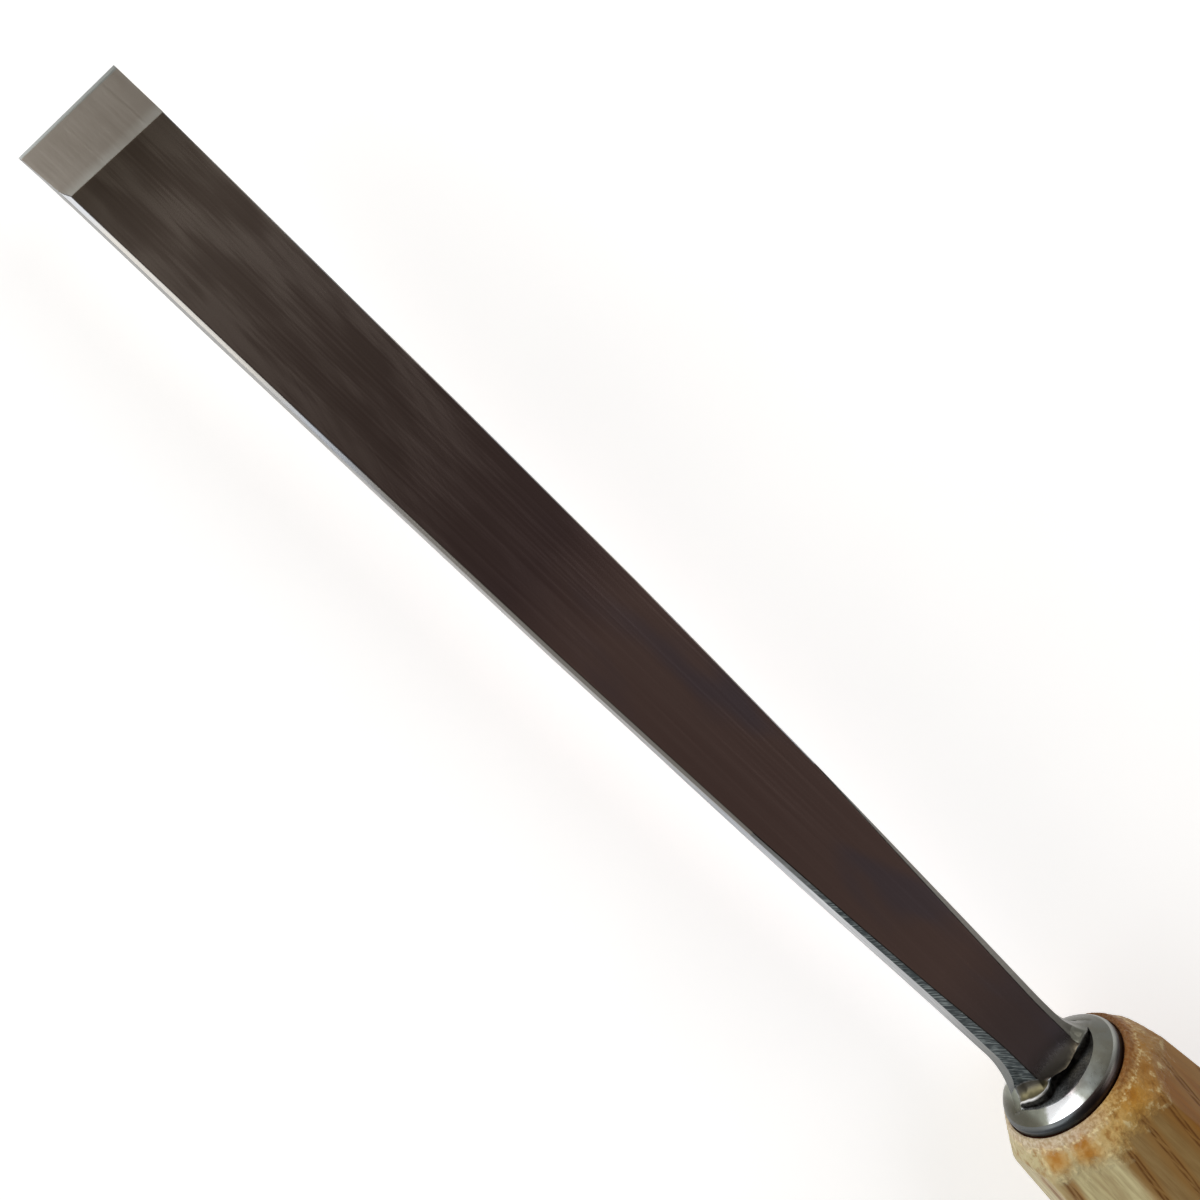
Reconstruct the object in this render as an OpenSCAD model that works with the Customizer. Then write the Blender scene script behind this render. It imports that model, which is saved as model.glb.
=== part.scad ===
// Straight carving chisel: a forged blade with its collar and tang, a ring inside the handle's front end,
// and an eight-sided handle that swells in the middle.
// The origin is on the tool's axis, where the collar seats on the handle.
// +X runs to the cutting edge, and +Z leaves the upper face of the blade. Both faces are alike.

/* [Blade] */
// Width of the cutting edge
edge_w = 12; // [10:0.5:14]
// Length from the collar's seat to the cutting edge
blade_len = 139; // [115:1:160]
// Length of the nearly parallel stretch behind the cutting edge
parallel_len = 68; // [50:1:80]
// Width where the nearly parallel stretch ends
parallel_w = 11.1; // [9.6:0.1:13]
// Width of the neck in front of the collar
neck_w = 8; // [6.8:0.1:9]
// Thickness at the heels of the two bevels
heel_t = 3.4; // [2.6:0.1:4.2]
// Thickness where the faces meet the collar
neck_t = 4.9; // [4.2:0.1:5.6]
// Length of each bevel along the axis
bevel_len = 6; // [5:0.1:9]
// Thickness left at the cutting edge
edge_t = 0.05; // [0.02:0.01:0.1]

/* [Corners of the faces] */
// Width of the eased left corners
ease_left = 0.45; // [0.2:0.05:0.8]
// Width of the eased right corners
ease_right = 0.1; // [0.05:0.05:0.8]
// Slope of the eased corners against the face, in degrees
ease_slope = 32; // [20:1:50]
// Distance from the collar's seat to the start of the ground neck corners
neck_cut_start = 44; // [30:1:60]
// Width of the ground neck corners at the collar
neck_cut_w = 1.35; // [0.9:0.05:1.6]
// Slope of the ground neck corners against the face, in degrees
neck_cut_slope = 45; // [30:1:50]

/* [Collar] */
// Diameter of the collar's rim
collar_d = 14.7; // [13.6:0.1:16.5]
// Length of the straight rim
rim_len = 1; // [0.6:0.05:1.4]
// Diameter of the sharp inner edge of the conical band
band_d = 10.7; // [10.2:0.1:12]
// Thickness of the collar at that inner edge
collar_t = 2.3; // [1.9:0.05:2.8]
// Depth of the dished ring inside the conical band
dish_depth = 0.25; // [0.1:0.05:0.5]
// Radius of the fillet from the neck's sides into the collar
neck_fillet = 2.6; // [1.5:0.1:3.5]
// Drop from the faces to the top of that fillet, which is also the floor of the notch at their ends
fillet_drop = 0.3; // [0.2:0.05:0.6]
// Width of the notch between the end of each face and the collar
notch_w = 0.3; // [0.2:0.05:0.6]

/* [Tang] */
// Length of the tang behind the collar's seat
tang_len = 74; // [55:1:95]
// Width of the square tang at the collar
tang_w = 6.4; // [5.4:0.1:7]
// Width of the square tang at its end
tang_end_w = 3; // [2:0.1:4.5]
// Clearance round the tang in its socket
tang_gap = 0.05; // [0.02:0.01:0.1]

/* [Inner ferrule] */
// Length of the ring inside the handle's front end
ferrule_len = 10; // [7:0.5:15]
// Wall of the ring
ferrule_wall = 1.2; // [0.8:0.1:1.5]
// Wood between the tang's corners and the ring
core_wall = 0.9; // [0.6:0.1:1.2]
// Clearance round the ring in its groove
ferrule_gap = 0.02; // [0.01:0.01:0.05]

/* [Handle] */
// Length of the handle
handle_len = 138; // [120:1:155]
// Width across the flats at the front end
front_flats = 18.4; // [17.6:0.1:20]
// Width across the flats where the handle is thickest
swell_flats = 26; // [23:0.1:29]
// Distance from the front end to the thickest place
swell_dist = 76; // [60:1:90]
// Width across the flats at the butt
butt_flats = 20; // [17:0.1:22]
// Radius of the rounded butt edge
butt_round = 4.5; // [2:0.5:6]
// Width of the flat wooden lip round the collar
front_lip = 0.85; // [0.4:0.05:1.2]
// Angle of the turned front cone against the axis, in degrees
front_cone = 31; // [25:1:45]
// Turn of the handle's flats against the blade's face, in degrees
handle_turn = 2.5; // [0:0.5:22.5]

/* [Hidden] */

// Number of flats round the handle
flat_count = 8;
// Sides of small and of very large circles
round_sides = 96;
sweep_sides = 2880;
$fn = round_sides;

// Faces of the blade: they part from the heels of the bevels to the collar
heel_x = blade_len - bevel_len;
heel_z = heel_t / 2;
neck_z = neck_t / 2;
face_rise = (neck_z - heel_z) / (heel_x - collar_t);
face_angle = atan(face_rise);
shoulder_x = blade_len - parallel_len;

// Collar: the fillet springs from the neck's ground corners and stays inside the conical band
rim_r = collar_d / 2;
band_r = band_d / 2;
flare_root_r = (neck_w / 2 - neck_cut_w) * sin(neck_cut_slope) + neck_z * cos(neck_cut_slope);
flare_w = min(neck_fillet, band_r - flare_root_r);
flare_len = sqrt(pow(neck_fillet, 2) - pow(neck_fillet - flare_w, 2));
flank_z = neck_z - fillet_drop;

// Dish inside the band: a groove with a round floor, deepest halfway out from the axis
dish_half = band_r / 2;
dish_r = (pow(dish_half, 2) + pow(dish_depth, 2)) / (2 * dish_depth);

// Inner ferrule, outside the wood that is left round the tang
ferrule_bore_r = (tang_w / 2 + tang_gap) * sqrt(2) + core_wall;
ferrule_r = ferrule_bore_r + ferrule_wall;

// Handle: two arcs meet at the thickest place, and a turned shape trims both ends
butt_dist = handle_len - swell_dist;
front_sag = (swell_flats - front_flats) / 2;
butt_sag = (swell_flats - butt_flats) / 2;
front_arc_r = (pow(swell_dist, 2) + pow(front_sag, 2)) / (2 * front_sag);
butt_arc_r = (pow(butt_dist, 2) + pow(butt_sag, 2)) / (2 * butt_sag);
flat_step = 360 / flat_count;
butt_round_dist = butt_dist - butt_round;
butt_round_drop = butt_arc_r - sqrt(pow(butt_arc_r, 2) - pow(butt_round_dist, 2));
butt_r = (swell_flats / 2 - butt_round_drop) / cos(flat_step / 2);
front_r = rim_r + front_lip;
cone_len = (swell_flats - front_r) / tan(front_cone);

// Reach of cutting solids past what they cut
cut_over = 1;
cut_reach = 2 * blade_len;

// Turns a shape made along Z so that it lies along X
module along_x() {
    rotate([0, 90, 0])
        children();
}

// Outline of the blade seen square to its faces
module blade_plan() {
    polygon([
        [0, -neck_w / 2], [collar_t, -neck_w / 2], [shoulder_x, -parallel_w / 2], [blade_len, -edge_w / 2],
        [blade_len, edge_w / 2], [shoulder_x, parallel_w / 2], [collar_t, neck_w / 2], [0, neck_w / 2]
    ]);
}

// Side view of the blade: two faces and two ground bevels
module blade_profile() {
    seat_z = heel_z + face_rise * heel_x;
    polygon([
        [0, -seat_z], [heel_x, -heel_z], [blade_len, -edge_t / 2],
        [blade_len, edge_t / 2], [heel_x, heel_z], [0, seat_z]
    ]);
}

// Everything above a plane that meets the upper face in the line from a to b and falls outwards
module corner_cut(a, b, slope) {
    translate([heel_x, 0, heel_z])
        rotate([0, face_angle, 0])
            translate([b[0] - heel_x, b[1], 0])
                rotate([-slope, 0, atan2(a[1] - b[1], a[0] - b[0])])
                    translate([-cut_reach, -cut_reach, 0])
                        cube([2 * cut_reach, 2 * cut_reach, cut_reach]);
}

// Eased corner along both stretches of one side, and the ground corner of the neck
module side_cuts(ease) {
    edge_point = [blade_len, edge_w / 2 - ease];
    shoulder_point = [shoulder_x, parallel_w / 2 - ease];
    neck_point = [collar_t, neck_w / 2 - ease];
    start_share = (neck_cut_start - collar_t) / (shoulder_x - collar_t);
    start_point = neck_point + start_share * (shoulder_point - neck_point);
    collar_point = [collar_t, neck_w / 2 - neck_cut_w];
    corner_cut(edge_point, shoulder_point, ease_slope);
    corner_cut(shoulder_point, neck_point, ease_slope);
    corner_cut(start_point, collar_point, neck_cut_slope);
}

// Room for the collar and for the notch at the end of the upper face
module end_cut() {
    translate([-cut_over, -cut_reach / 2, flank_z - fillet_drop])
        cube([cut_over + collar_t + notch_w, cut_reach, cut_reach]);
}

// Both corners and the end of the upper face
module face_cuts() {
    side_cuts(ease_left);
    mirror([0, 1, 0])
        side_cuts(ease_right);
    end_cut();
}

module blade_body() {
    difference() {
        intersection() {
            linear_extrude(height = cut_reach, center = true)
                blade_plan();
            rotate([90, 0, 0])
                linear_extrude(height = cut_reach, center = true)
                    blade_profile();
        }
        face_cuts();
        mirror([0, 0, 1])
            face_cuts();
    }
}

// Round collar: straight rim, conical band and a dished ring inside the band
module collar() {
    along_x()
        rotate_extrude()
            difference() {
                polygon([[0, 0], [rim_r, 0], [rim_r, rim_len], [band_r, collar_t], [0, collar_t]]);
                translate([dish_half, collar_t + dish_r - dish_depth])
                    circle(dish_r);
            }
}

// Fillets from the neck's two sides into the collar
module flanks() {
    intersection() {
        along_x()
            rotate_extrude()
                difference() {
                    square([flare_root_r + flare_w, collar_t + flare_len]);
                    translate([flare_root_r + neck_fillet, collar_t + flare_len])
                        circle(neck_fillet);
                }
        cube([cut_reach, cut_reach, 2 * flank_z], center = true);
    }
}

// One pair of the tang's flat sides, grown by a clearance
module tang_side(gap) {
    root = tang_w / 2 + gap;
    end = tang_end_w / 2 + gap;
    linear_extrude(height = 2 * root, center = true)
        polygon([
            [-tang_len - gap, -end], [0, -root], [rim_len, -root],
            [rim_len, root], [0, root], [-tang_len - gap, end]
        ]);
}

module tang(gap) {
    intersection() {
        tang_side(gap);
        rotate([90, 0, 0])
            tang_side(gap);
    }
}

// Ring of the inner ferrule, grown by a clearance and lengthened past the handle's front end
module ferrule_ring(gap, front_over) {
    translate([-ferrule_len, 0, 0])
        along_x()
            difference() {
                cylinder(r = ferrule_r + gap, h = ferrule_len + front_over);
                translate([0, 0, -cut_over])
                    cylinder(r = ferrule_bore_r - gap, h = ferrule_len + front_over + 2 * cut_over);
            }
}

// Stretch of the handle's outline with one arc on each flat
module flat_arcs(arc_r, from_x, length) {
    centre_offset = arc_r - swell_flats / 2;
    intersection() {
        translate([-swell_dist, -centre_offset])
            circle(arc_r, $fn = sweep_sides);
        translate([-swell_dist, centre_offset])
            circle(arc_r, $fn = sweep_sides);
        translate([from_x, -swell_flats])
            square([length, 2 * swell_flats]);
    }
}

// One pair of opposite flats, as wide as the handle can be
module flat_pair() {
    rotate([90, 0, 0])
        linear_extrude(height = 2 * swell_flats, center = true) {
            flat_arcs(front_arc_r, -swell_dist, swell_dist);
            flat_arcs(butt_arc_r, -handle_len, butt_dist);
        }
}

// Turned shape that trims the flats: front cone and rounded butt
module turned_limits() {
    along_x()
        rotate_extrude()
            difference() {
                polygon([
                    [0, 0], [front_r, 0], [swell_flats, -cone_len],
                    [swell_flats, -handle_len], [0, -handle_len]
                ]);
                translate([butt_r - butt_round, -handle_len])
                    difference() {
                        square([swell_flats, butt_round]);
                        translate([0, butt_round])
                            circle(butt_round);
                    }
            }
}

module blade() {
    color("dimgray") {
        blade_body();
        collar();
        flanks();
        tang(0);
    }
}

module inner_ferrule() {
    color("silver")
        ferrule_ring(0, 0);
}

module handle() {
    color("burlywood")
        difference() {
            intersection() {
                rotate([handle_turn, 0, 0])
                    intersection_for(i = [0 : flat_count / 2 - 1])
                        rotate([i * flat_step, 0, 0])
                            flat_pair();
                turned_limits();
            }
            tang(tang_gap);
            ferrule_ring(ferrule_gap, cut_over);
        }
}

blade();
inner_ferrule();
handle();
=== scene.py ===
import math

import bpy
import numpy as np
from mathutils import Matrix, Vector, noise


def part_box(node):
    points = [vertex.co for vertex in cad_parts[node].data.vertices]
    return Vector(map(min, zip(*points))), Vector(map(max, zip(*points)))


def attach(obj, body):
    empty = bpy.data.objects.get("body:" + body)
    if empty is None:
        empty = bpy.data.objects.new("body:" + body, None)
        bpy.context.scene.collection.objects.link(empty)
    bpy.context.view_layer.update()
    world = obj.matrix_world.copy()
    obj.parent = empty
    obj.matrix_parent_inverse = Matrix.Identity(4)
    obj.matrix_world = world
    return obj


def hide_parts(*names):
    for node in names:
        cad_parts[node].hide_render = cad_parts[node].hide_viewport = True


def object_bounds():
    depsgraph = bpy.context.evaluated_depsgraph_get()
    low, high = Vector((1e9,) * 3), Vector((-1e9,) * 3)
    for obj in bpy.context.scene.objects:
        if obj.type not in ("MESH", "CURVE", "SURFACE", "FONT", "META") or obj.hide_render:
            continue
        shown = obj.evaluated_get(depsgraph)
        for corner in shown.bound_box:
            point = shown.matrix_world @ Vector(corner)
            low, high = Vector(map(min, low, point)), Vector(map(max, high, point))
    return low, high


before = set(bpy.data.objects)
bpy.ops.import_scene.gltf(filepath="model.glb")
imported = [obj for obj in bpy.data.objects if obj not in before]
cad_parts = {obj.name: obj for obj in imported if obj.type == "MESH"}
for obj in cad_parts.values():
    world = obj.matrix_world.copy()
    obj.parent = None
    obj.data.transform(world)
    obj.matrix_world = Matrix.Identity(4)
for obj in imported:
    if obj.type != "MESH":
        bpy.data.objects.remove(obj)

# Straight carving chisel: forged blade, ash handle, pale floor, window light and camera.
# Sizes are in millimetres and become metres when a mesh or an object is made.
# The cutting edge points to +X, the upper face to +Z and the left side to +Y.
MM = 0.001
CAD_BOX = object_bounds()
BLADE_LOW, BLADE_HIGH = (np.array(corner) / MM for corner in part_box("blade"))
HANDLE_LOW = np.array(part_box("handle")[0]) / MM
RING_LOW, RING_HIGH = (np.array(corner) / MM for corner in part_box("inner_ferrule"))

# Blade: faces, bevels and corners
BLADE_LEN = BLADE_HIGH[0]
BEVEL_LEN = 6
HEEL_X = BLADE_LEN - BEVEL_LEN
HEEL_Z = 1.7
NECK_Z = 2.45
COLLAR_T = 2.3
FACE_RISE = (NECK_Z - HEEL_Z) / (HEEL_X - COLLAR_T)
EDGE_SKEW = 0.19
HEEL_SKEW = -0.2
SKEW_START = HEEL_X - 4
HONED_LEN = 0.28
HONED_Z = 0.125
EDGE_Z = 0.02
EASE_SLOPE = math.tan(math.radians(32))
NECK_CUT_START = 44
NECK_CUT_SLOPE = 1
NECK_CUT_TURN = 7
LEAST_CUT = 0.008
CORNER_ROUND = 0.06
ROUND_SHARE = 0.4
BLADE_SHARP = math.radians(34)

# Half widths at the collar, the shoulder, the middle, the heel and the edge
WIDTH_PLACE = (COLLAR_T, 71, 95, HEEL_X, BLADE_LEN)
HALF_WIDTH = (4, 5.55, 5.8, 5.97, 6.12)

# Corners along the blade: how far the face's edge and the side's top lie inside the full width
CUT_PLACE = (2, 10, 15, 20, 30, 44, 60)
LEFT_RUN = (1.62, 1.51, 1.29, 1.06, 0.72, 0.45, 0.45)
LEFT_LEAN = (0.44, 0.43, 0.45, 0.42, 0.22, 0.08, 0.03)
RIGHT_RUN = (1.1, 1.1, 0.97, 0.84, 0.56, 0.13, 0.1)
RIGHT_LEAN = (0.35, 0.34, 0.27, 0.2, 0.12, 0.04, 0.02)

# Sides along the blade: how far their middles stand out from the even taper
SIDE_PLACE = (6, 22, 36, 53, 66, 90, 116, 133)
LEFT_FULL = (0.1, 0.14, 0.28, 0.2, 0.07, 0, 0.13, 0.05)
RIGHT_FULL = (-0.12, -0.05, 0, 0, 0, 0, 0, 0)

# Stations along the blade, close together behind the edge and round the heel
EDGE_STEPS = (0, 0.1, 0.2, HONED_LEN, 0.34, 0.5)
BEVEL_FROM_EDGE = 0.8
BEVEL_FROM_HEEL = 1.4
BEVEL_STATIONS = 9
HEEL_STEPS = (1.1, 0.8, 0.5, 0.25, 0.1, 0.03, -0.03, -0.1, -0.3)
BODY_FROM_HEEL = 0.8
BODY_STATIONS = 120
BEVEL_SLACK = 0.02

# Neck's root: its sides flare on an arc, and the corners' feet move round it, by azimuth in degrees
# from the top towards the left side
NECK_END = 8.5
FLARE_LEFT_R = 9.3
FLARE_RIGHT_START = 6
FLARE_RIGHT_R = 5
FLARE_AZIMUTH = (-90, -75, -66, -60, -52, 47, 60, 70, 77, 83, 90)
FLARE_SHARE = (0.9, 0.8, 0.5, 0.15, 0, 0, 0.06, 0.23, 0.58, 0.78, 0.9)
FLARE_POINTS = 16
FOOT_AZIMUTH = (-90, -66.4, -52, 47, 70.6, 90)
FOOT_MOVED = (-90, -71, -52, 47, 83, 90)
FOOT_MOVE_POWER = 3

# Points round half a section of the blade: two sides, two corners and the face between them
SIDE_POINTS = 10
CUT_POINTS = 14
FACE_POINTS = 61
ROUND_POINTS = 4

# Collar: rim and conical band
RIM_R = BLADE_HIGH[1]
RIM_LEN = 1
RIM_PROUD = 0.08
RIM_SWELL = 0.34
RIM_SWELL_POWER = 1.5
BAND_R = 5.35
BAND_BULGE = 0.05
BAND_POINTS = 10
BAND_END_R = 6.55
RIM_BEND_END = 0.45
RIM_POINTS = 10
RIM_DARK_ROW = BAND_POINTS - 1 + 3
# Rows over which the painted highlight on the rim's shoulder fades
SHEEN_ROWS = 3
SEAT_EDGE = 0.07

# Fillet between neck and groove, its lip, and the groove's wall and floor
FILLET_POINTS = 12
FILLET_LEAD = 0.85
LIP_GAP = 0.1
LIP_RISE = 0.012
WALL_SHARE = 0.7
WALL_TOP = 0.3
WALL_LOW = 0.2
WALL_POINTS = 2
FOOT_LEAST = 0.01
FOOT_GAP = 0.06
FOOT_STEP = 0.02
CLOSED_SHARE = 0.3
GROOVE_POINTS = 10
GROOVE_POWER = 1.5
JAG = 0.1
JAG_RATE = 0.3
FILLET_ROW = FLARE_POINTS - 1
WALL_ROW = FILLET_ROW + FILLET_POINTS - 1
GROUND_ROW = WALL_ROW + WALL_POINTS

# Azimuths at which the groove opens on the right and closes on the left, above and below
OPEN_RIGHT = (-80, -74)
CLOSE_ABOVE = (87, 81)
CLOSE_BELOW = (60, 50)
GROOVE_RIGHT = -77
SCOOP_AZIMUTH = 31
SCOOP_CORNER = 47

# Azimuth, fillet's start and end, lift over the neck, notch, step, groove's floor, band's inner radius
ROOT_KEYS = np.array([
    (-90, 3.4, 1.88, 1.25, 0, 0, 1.84, 6.1),
    (-80, 3.7, 2.24, 0.96, 0, 0.02, 2.12, 5.58),
    (-75, 3.8, 2.4, 0.8, 0, 0.03, 2.12, 5.4),
    (-70, 4, 2.55, 0.74, 0, 0.05, 2, 5.38),
    (-65, 4.1, 2.65, 0.52, 0, 0.05, 1.92, 5.4),
    (-58, 4.1, 2.7, 0.41, 0.05, 0.04, 1.86, 5.41),
    (-52, 3.9, 2.72, 0.26, 0.15, 0.02, 1.82, 5.43),
    (-46, 3.6, 2.68, 0.25, 0.25, 0.02, 1.78, 5.45),
    (-38, 3.2, 2.36, 0.05, 0.3, 0.02, 1.72, 5.48),
    (-25, 2.8, 2.14, 0.03, 0.3, 0.02, 1.66, 5.52),
    (-8, 2.6, 2.03, 0.03, 0.3, 0.02, 1.62, 5.57),
    (5, 2.7, 2.22, 0.03, 0.3, 0.02, 1.64, 5.63),
    (20, 2.9, 2.5, 0.03, 0.3, 0.02, 1.68, 5.7),
    (33, 3.2, 2.7, 0.05, 0.3, 0.02, 1.74, 5.75),
    (37, 3.4, 2.68, 0.3, 0.15, 0.06, 1.76, 5.76),
    (42, 3.6, 2.66, 0.7, 0.04, 0.1, 1.78, 5.77),
    (48, 3.8, 2.64, 0.86, 0, 0.1, 1.8, 5.78),
    (58, 4, 2.62, 1.2, 0, 0.1, 1.82, 5.81),
    (64, 4.1, 2.61, 1.28, 0, 0.1, 1.83, 5.83),
    (74, 4.2, 2.58, 1.13, 0, 0.1, 1.83, 5.9),
    (80, 4.2, 2.5, 0.9, 0, 0.08, 1.82, 5.98),
    (83, 4, 2.4, 0.85, 0, 0.06, 1.82, 6.03),
    (86, 3.7, 2.2, 0.95, 0, 0.04, 1.82, 6.25),
    (90, 3.4, 1.88, 1.14, 0, 0, 1.84, 6.5),
])

# Masks on the blade's points: azimuths, and shares of groove and fillet, over which they fade
# Each mask marks painted light at least in part: reflections on the band's flanks, in the scoop and on
# the face's lip, highlights on the scoop's edge and the rim's shoulder, and shade in the groove.
MASKS = ("dull_and_reflection", "scoop_reflection", "shine", "lip", "wear_and_sheen", "grime_and_shade")
FLANK_LEFT = (42, 52)
FLANK_RIGHT = (22, 4)
SCOOP_FADES = ((36, 40), (86, 80))
# Grimy painted shade in the groove: the azimuths and the climb over the floor at which it fades
GRIME_SHADE_FADES = ((-84, -79), (92, 88))
GRIME_SHADE_CLIMB = (0.5, 0.15)
LIP_FADES = ((-60, -44), (30, 0))
LIP_CLIMB = (-0.15, 0.9)

# Materials of the strips round the neck, the body of the blade and the bevel
# The neck's rounded corners take the groove's material, whose grimy painted shade draws a dark shadow
# line there.
NECK_ZONES = {"side": "side_steel", "cut": "neck_steel", "round": "root_steel", "face": "face_steel"}
BODY_ZONES = {"side": "side_steel", "cut": "strip_steel", "round": "strip_steel", "face": "face_steel"}
BEVEL_ZONES = {**BODY_ZONES, "face": "bevel_steel"}

# Tang, hidden in the handle
TANG_LEN = -BLADE_LOW[0]
TANG_HALF = 3.2
TANG_END_HALF = 1.5

# Handle: eight barrel-shaped flats, a turned front cone and a rounded butt
HANDLE_LEN = -HANDLE_LOW[0]
FLAT_COUNT = 8
FLAT_STEP = 2 * math.pi / FLAT_COUNT
HANDLE_TURN = math.radians(-2.5)
FRONT_HALF = 9.2
SWELL_HALF = 13
BUTT_HALF = 10
SWELL_X = -76
BUTT_ROUND = 4.5
BUTT_START = BUTT_ROUND - HANDLE_LEN
FRONT_LIP = 0.85
CONE_RISE = math.tan(math.radians(31))
FRONT_FULL = 0.3
FULL_REACH = (-45, -8)
FULL_POWER = 4
RIDGE_SHARPNESS = 220
CONE_BLEND = 0.14
AROUND = 560
CONE_REACH = 5
CONE_RINGS = 72
BODY_RINGS = 64
BUTT_RINGS = 14
SOCKET_GAP = 0.05
RING_GAP = 0.02
RING_BORE_R = 5.496
HANDLE_SHARP = math.radians(50)

# Front lip: a narrow groove beside the rim, darkened with painted shade, and torn end grain beyond it
# and on the cone
LIP_RINGS = 14
LIP_START = -0.1
LIP_SPARE = 0.05
SEAM_W = 0.17
SEAM_FLOOR_W = 0.4 * SEAM_W
SEAM_DEPTH = 0.3
LIP_CRUST = 0.07
LIP_CRUST_REACH = (0.2, 0.45)
CONE_CRUST = 0.055
CONE_CRUST_REACH = (-0.25, 0.1)
FORWARD = np.array([1, 0, 0])

# Lumps of the end grain: scale, octaves and height of the coarse and the fine ones
LUMPS = ((1.9, 3, 1), (5.2, 2, 0.5))
LUMP_FALL = 0.9
LUMP_STEP = 2

# Camera
PHOTO_WIDTH = 1200
FOCAL_PIXELS = 1451.5
SENSOR_WIDTH = 36
CAMERA_PLACE = (95.157, 16.819, 140.803)
CAMERA_AIM = (71.97, -1.88, 0)
CAMERA_ROLL = math.radians(-94.6175)
CLIP_START = 0.005


def srgb(red, green, blue):
    """Linear colour of a colour given in display values from 0 to 255."""
    def linear(value):
        share = value / 255
        return share / 12.92 if share <= 0.04045 else ((share + 0.055) / 1.055) ** 2.4
    return (linear(red), linear(green), linear(blue), 1)


def tones(*stops):
    """Stops of a colour ramp: a position with three display values, or with one for a grey."""
    return [(place, srgb(*(levels if len(levels) > 1 else levels * 3))) for place, *levels in stops]


def smooth_step(low, high, value):
    share = np.clip((value - low) / (high - low), 0, 1)
    return share * share * (3 - 2 * share)


def between(fades, value):
    """One between two fades and nought outside them."""
    return smooth_step(*fades[0], value) * smooth_step(*fades[1], value)


# Meshes made of rings

def ring_faces(rings, around):
    """Quads between neighbouring rings of equally many points."""
    column = np.arange(around)
    after = np.roll(column, -1)
    quads = np.stack([column, after, after + around, column + around], 1)
    return [quad for row in range(rings - 1) for quad in (quads + row * around).tolist()]


def cap_faces(firsts, seconds, centre):
    """Triangles from the pairs of neighbours on a ring to a point in its middle."""
    return [(first, second, centre) for first, second in zip(firsts.tolist(), seconds.tolist())]


def ring_mesh(name, rings, masks):
    """Mesh through rings of points, capped by a point at each end, with masks on its points."""
    around = len(rings[0])
    points = np.concatenate([*rings, [rings[0].mean(0)], [rings[-1].mean(0)]]) * MM
    first = np.arange(around)
    last = first + (len(rings) - 1) * around
    faces = ring_faces(len(rings), around)
    faces += cap_faces(np.roll(first, -1), first, len(points) - 2)
    faces += cap_faces(last, np.roll(last, -1), len(points) - 1)
    mesh = bpy.data.meshes.new(name)
    mesh.from_pydata(points.tolist(), [], faces)
    for key, values in masks.items():
        rows = np.concatenate([*values, [values[0][0], values[-1][0]]])
        mesh.attributes.new(key, "FLOAT", "POINT").data.foreach_set("value", rows.astype(np.float32))
    mesh.polygons.foreach_set("use_smooth", [True] * len(mesh.polygons))
    piece = bpy.data.objects.new(name, mesh)
    bpy.context.scene.collection.objects.link(piece)
    return piece


# Blade

def half_width(x):
    return np.interp(x, WIDTH_PLACE, HALF_WIDTH)


def face_z(x):
    return HEEL_Z + FACE_RISE * (HEEL_X - x)


def top_z(x):
    """Height of the face, or of the bevel in front of its heel."""
    if x <= HEEL_X:
        return face_z(x)
    return np.interp(x, (HEEL_X, BLADE_LEN - HONED_LEN, BLADE_LEN), (HEEL_Z, HONED_Z, EDGE_Z))


def corner_cut(x, run_keys, lean_keys):
    """How far an eased corner's face edge and foot lie inside the full width, and the foot's height."""
    run, lean = np.interp(x, CUT_PLACE, run_keys), np.interp(x, CUT_PLACE, lean_keys)
    turn = np.clip((NECK_CUT_START - x) / NECK_CUT_TURN, 0, 1)
    slope = EASE_SLOPE + turn * (NECK_CUT_SLOPE - EASE_SLOPE)
    top, full = top_z(x), face_z(x)
    full_foot = full - (run - lean) * slope
    foot = min(full_foot, top - LEAST_CUT)
    foot_in = lean * foot / full_foot
    return max(run - (full - top) / slope, foot_in + LEAST_CUT), foot_in, foot


def section_corners(x):
    """Corners of the upper half section, from the right side over the face to the left side."""
    half, top = half_width(x), top_z(x)
    left_run, left_in, left_foot = corner_cut(x, LEFT_RUN, LEFT_LEAN)
    right_run, right_in, right_foot = corner_cut(x, RIGHT_RUN, RIGHT_LEAN)
    left_full, right_full = np.interp(x, SIDE_PLACE, LEFT_FULL), np.interp(x, SIDE_PLACE, RIGHT_FULL)
    return np.array([
        (-half - right_full, 0), (right_in - half, right_foot), (right_run - half, top),
        (half - left_run, top), (half - left_in, left_foot), (half + left_full, 0),
    ])


def bend(first, corner, last, count):
    """Points on a curve from the first point to the last that leans towards the corner."""
    first, corner, last = (np.array(point, float) for point in (first, corner, last))
    share = np.linspace(0, 1, count)[:, None]
    return (1 - share) ** 2 * first + 2 * share * (1 - share) * corner + share ** 2 * last


def rounded_path(corners, counts):
    """Points along straight stretches whose inner corners are rounded a little."""
    steps = np.diff(corners, axis=0)
    lengths = np.linalg.norm(steps, axis=1)
    reach = np.zeros(len(corners))
    reach[1:-1] = np.minimum(CORNER_ROUND, ROUND_SHARE * np.minimum(lengths[:-1], lengths[1:]))
    path = []
    for index, count in enumerate(counts):
        along = steps[index] / lengths[index]
        start = corners[index] + along * reach[index]
        end = corners[index + 1] - along * reach[index + 1]
        path.append(np.linspace(start, end, count))
    joined = [path[0]]
    for corner, before, after in zip(corners[1:-1], path[:-1], path[1:]):
        joined += [bend(before[-1], corner, after[0], ROUND_POINTS)[1:-1], after]
    return np.concatenate(joined)


def mirrored(upper):
    """Closes a half section with its mirror image below the middle plane."""
    lower = upper[::-1][1:-1] * (1, -1)
    return np.concatenate([upper, lower])


def blade_section(x):
    counts = (SIDE_POINTS, CUT_POINTS, FACE_POINTS, CUT_POINTS, SIDE_POINTS)
    return mirrored(rounded_path(section_corners(x), counts))


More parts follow.
